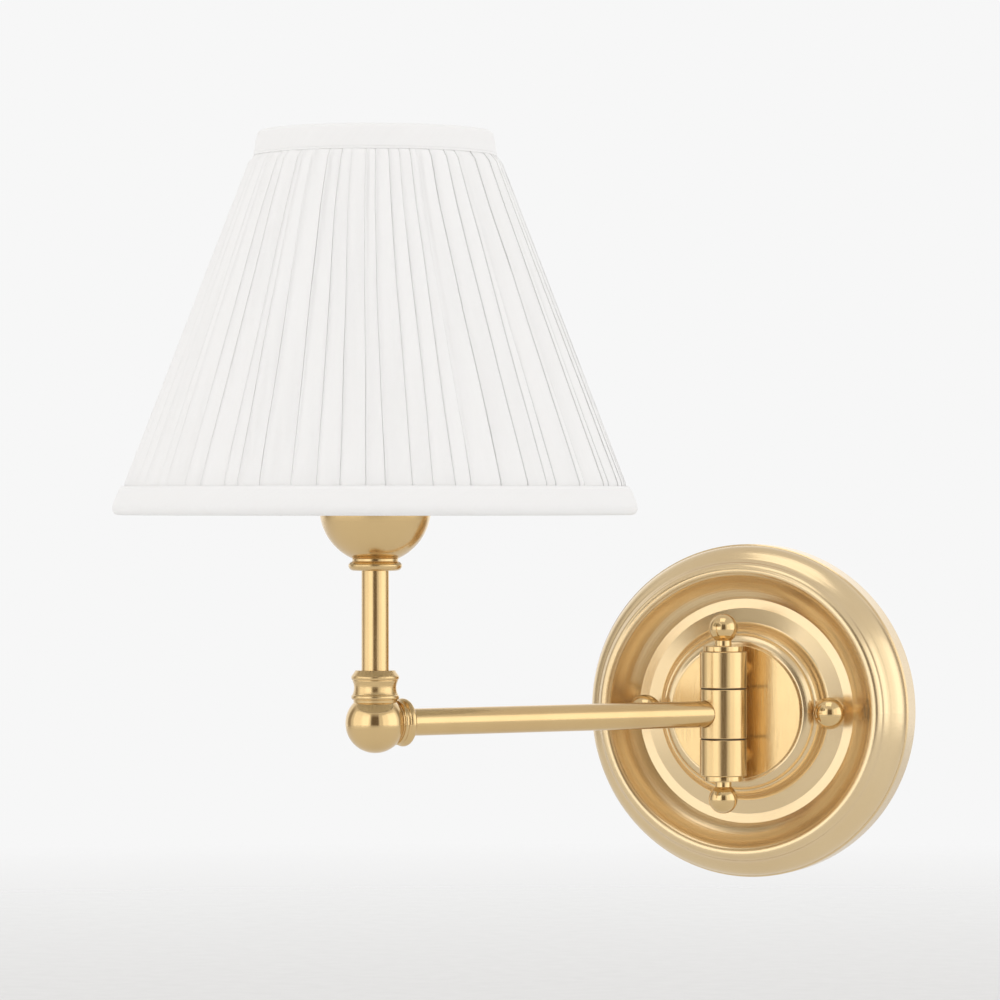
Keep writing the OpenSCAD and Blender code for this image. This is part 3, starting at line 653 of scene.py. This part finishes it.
# %% Grow a piece from a tree
def grown(name, tree, sizes):
    piece = bpy.data.objects.new(name, bpy.data.meshes.new(name))
    bpy.context.scene.collection.objects.link(piece)
    modifier = piece.modifiers.new("tree", "NODES")
    modifier.node_group = tree
    for socket in tree.interface.items_tree:
        if socket.in_out == "INPUT":
            modifier[socket.identifier] = sizes[socket.name]
    view = bpy.context.evaluated_depsgraph_get()
    mesh = bpy.data.meshes.new_from_object(piece.evaluated_get(view))
    piece.modifiers.remove(modifier)
    piece.data = mesh
    mesh.name = name
    print(name, len(mesh.vertices), "points", len(mesh.polygons), "faces")
    return piece


def thicken(piece, thickness):
    wall = piece.modifiers.new("thickness", "SOLIDIFY")
    wall.thickness = thickness
    wall.offset = -1


# %% [markdown]
# Cotton is woven, and its map is in metres, so the weave's pitch is given as a real size. Two sets
# of bands make the threads, and a noise drawn out along them makes thick and thin ones. A little
# sheen lifts the edges as loose fibres do, and a little light passes from thread to thread.


# %% Cloth
def cotton(name, color, pitch, depth, thread_tint=0.96):
    material, tree, shader = finish(
        name, color, 0.92, Sheen_Weight=0.1, Sheen_Roughness=0.5, Subsurface_Weight=0.12,
        Subsurface_Radius=(1.0, 0.97, 0.93), Subsurface_Scale=0.35 * MM)
    flat = add(tree, "UVMap", uv_map="UVMap").outputs["UV"]
    threads = []
    for direction in ("X", "Y"):
        wave = add(tree, "TexWave", wave_type="BANDS", bands_direction=direction,
                   Scale=math.tau / 20 / pitch, Distortion=0.0)
        tree.links.new(flat, wave.inputs["Vector"])
        threads.append(wave.outputs["Fac"])
    weave = add(tree, "Math", operation="MULTIPLY")
    for thread, socket in zip(threads, weave.inputs):
        tree.links.new(thread, socket)
    stretch = add(tree, "Mapping")
    stretch.inputs["Scale"].default_value = (900, 90, 1)
    tree.links.new(flat, stretch.inputs["Vector"])
    slubs = noise(tree, stretch.outputs["Vector"], 1.0, detail=3)
    dark = tuple(c * thread_tint for c in color)
    tree.links.new(shades(tree, slubs, dark, color, 0.3, 0.62), shader.inputs["Base Color"])
    tree.links.new(between(tree, slubs, 0.86, 0.97), shader.inputs["Roughness"])
    woven = bump(tree, shader, weave.outputs["Value"], depth)
    bump(tree, shader, slubs, depth * 0.7, under=woven)
    print(name, "has a thread every", round(pitch / MM, 2), "mm")
    return material


# The pleated cotton is a little paler than the tape's: painted light, which makes up for the shade that falls
# between the folds.
pleated_cotton = cotton("pleated_cotton", (0.955, 0.952, 0.95), 0.42 * MM, 0.012 * MM, 0.985)
trim_cotton = cotton("trim_cotton", (0.93, 0.928, 0.928), 0.5 * MM, 0.012 * MM, 0.985)
film = plain("liner_film", (0.90, 0.895, 0.87), 0.6, 180, 0.01 * MM, tint=0.98)

# %% [markdown]
# The cover follows the frame: its two radii and its two heights are read from the boxes of the
# trims, and it stands round the same axis as the shade's joint.

# %% Pleated cover
PLEATS = 66
COLUMNS = 16
low_trim, high_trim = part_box("shade_bottom_trim"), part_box("shade_top_trim")
LOW_EDGE = low_trim[1].z
HIGH_EDGE = high_trim[0].z
BOTTOM_RADIUS = radius("shade_bottom_trim") - 3.5 * MM
TOP_RADIUS = radius("shade_top_trim") + 0.8 * MM
AXIS = Vector((POST.x, POST.y, 0))
CLOTH_PER_PLEAT = 11.6 * MM

cover = grown("pleated_cover", pleats, {
    "Pleats": PLEATS, "Columns": COLUMNS, "Rows": 25, "Seed": 4,
    "Bottom Radius": BOTTOM_RADIUS, "Top Radius": TOP_RADIUS,
    "Bottom Height": LOW_EDGE - 1.2 * MM, "Top Height": HIGH_EDGE + 1.0 * MM,
    "Depth": 0.44 * MM, "Unevenness": 0.36, "Tuck": 1.6 * MM,
    "Cloth Per Pleat": CLOTH_PER_PLEAT, "Axis": AXIS, "Cloth": pleated_cotton})
thicken(cover, 0.2 * MM)
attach(cover, "shade")
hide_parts("shade_cover")

# %% [markdown]
# The tapes and the lining are each one outline carried round the shade's axis. The first helper
# makes such a piece from its outline, as radius and height, with a flat map in metres for the
# weave. The second draws a smooth line through a few points, so that an outline needs no more
# points than its shape does.


# %% Outline carried round
def carried_round(name, outline, axis, material, around=180):
    builder = bmesh.new()
    flat = builder.loops.layers.uv.new("UVMap")
    lengths = [0.0]
    for (r0, z0), (r1, z1) in zip(outline, outline[1:]):
        lengths.append(lengths[-1] + math.hypot(r1 - r0, z1 - z0))
    rings = []
    for r, z in outline:
        rings.append([builder.verts.new((
            axis.x + r * math.cos(math.tau * k / around),
            axis.y + r * math.sin(math.tau * k / around), z)) for k in range(around)])
    for low in range(len(outline) - 1):
        high = low + 1
        for k in range(around):
            after = (k + 1) % around
            face = builder.faces.new(
                (rings[low][k], rings[low][after], rings[high][after], rings[high][k]))
            face.smooth = True
            reach = math.tau * outline[low][0] / around
            corners = ((k, low), (k + 1, low), (k + 1, high), (k, high))
            for loop, (turn, level) in zip(face.loops, corners):
                loop[flat].uv = (turn * reach, lengths[level])
    mesh = bpy.data.meshes.new(name)
    builder.to_mesh(mesh)
    builder.free()
    mesh.materials.append(material)
    piece = bpy.data.objects.new(name, mesh)
    bpy.context.scene.collection.objects.link(piece)
    print(name, len(mesh.polygons), "faces")
    return piece


def curve_through(points, fine=4):
    line = []
    for i in range(len(points) - 1):
        before = Vector(points[max(i - 1, 0)])
        start, end = Vector(points[i]), Vector(points[i + 1])
        after = Vector(points[min(i + 2, len(points) - 1)])
        for k in range(fine):
            t = k / fine
            line.append(tuple(0.5 * (
                2 * start + (end - before) * t + (2 * before - 5 * start + 4 * end - after) * t ** 2
                + (3 * start - before - 3 * end + after) * t ** 3)))
    return line + [tuple(points[-1])]


# %% [markdown]
# The trims are cotton tape, folded over the ring wires: a long leg outside, a rolled edge, and a
# short leg inside. The free edge of each leans in to meet the pleats, and makes the faint line
# beside them. Each outline's points say how far they lie inside the trim's rim, and how far above
# the level given, in millimetres.


# %% Trims
def tape(name, node, rim, level, points):
    outline = curve_through([(rim - inward * MM, level + above * MM) for inward, above in points])
    piece = carried_round(name, outline, AXIS, trim_cotton)
    thicken(piece, 0.45 * MM)
    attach(piece, "shade")
    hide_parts(node)


tape("bottom_trim_tape", "shade_bottom_trim", radius("shade_bottom_trim"), low_trim[0].z, [
    (5.0, 3.0), (4.9, 1.6), (3.9, 0.35), (2.3, 0.05), (0.75, 0.75), (0.05, 2.6), (0.65, 5.0),
    (1.7, 7.6), (2.6, 9.75), (2.95, 10.1), (3.4, 10.9)])
tape("top_trim_tape", "shade_top_trim", radius("shade_top_trim"), high_trim[1].z, [
    (0.0, -9.6), (0.15, -8.8), (0.1, -8.5), (0.6, -5.6), (1.15, -2.6), (1.8, -0.8), (3.1, -0.05),
    (4.7, -0.4), (5.4, -1.6), (5.45, -2.85)])

# %% [markdown]
# The lining is a sheet of stiff white film, rolled into a cone behind the cotton. It carries the
# cloth and spreads the light.

# %% Lining
film_low, film_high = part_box("shade_liner")
FILM_R = radius("shade_liner")
FILM_TOP_R = TOP_RADIUS - 4.7 * MM
lining = carried_round("liner_film_cone", curve_through([
    (FILM_R, film_low.z),
    (FILM_R * 0.75 + FILM_TOP_R * 0.25, film_low.z * 0.75 + film_high.z * 0.25),
    (FILM_R * 0.25 + FILM_TOP_R * 0.75, film_low.z * 0.25 + film_high.z * 0.75),
    (FILM_TOP_R, film_high.z)]), AXIS, film)
thicken(lining, 0.35 * MM)
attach(lining, "shade")
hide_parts("shade_liner")

# %% [markdown]
# The floor is a pale disc well below the lamp. It fades out at its rim, so that no edge of it shows
# against the backdrop.

# %% Floor
FLOOR_RADIUS, FLOOR_HEIGHT = 3.0, -0.25
bpy.ops.mesh.primitive_circle_add(
    vertices=96, radius=FLOOR_RADIUS, fill_type="NGON", location=(0, 0, FLOOR_HEIGHT))
floor = bpy.context.object
floor.name = "floor"
pale, pale_tree, pale_shader = finish("pale_floor", (0.84, 0.84, 0.835), 0.75)
speck = noise(pale_tree, object_place(pale_tree), 60, detail=4)
pale_tree.links.new(
    shades(pale_tree, speck, (0.82, 0.82, 0.815), (0.86, 0.86, 0.855)),
    pale_shader.inputs["Base Color"])
distance = add(pale_tree, "VectorMath", operation="LENGTH")
pale_tree.links.new(object_place(pale_tree), distance.inputs[0])
pale_tree.links.new(
    between(pale_tree, distance.outputs["Value"], 1.0, 0.0, 0.9, 2.9), pale_shader.inputs["Alpha"])
floor.data.materials.append(pale)
print("floor", FLOOR_HEIGHT, "m high and", FLOOR_RADIUS, "m in radius")
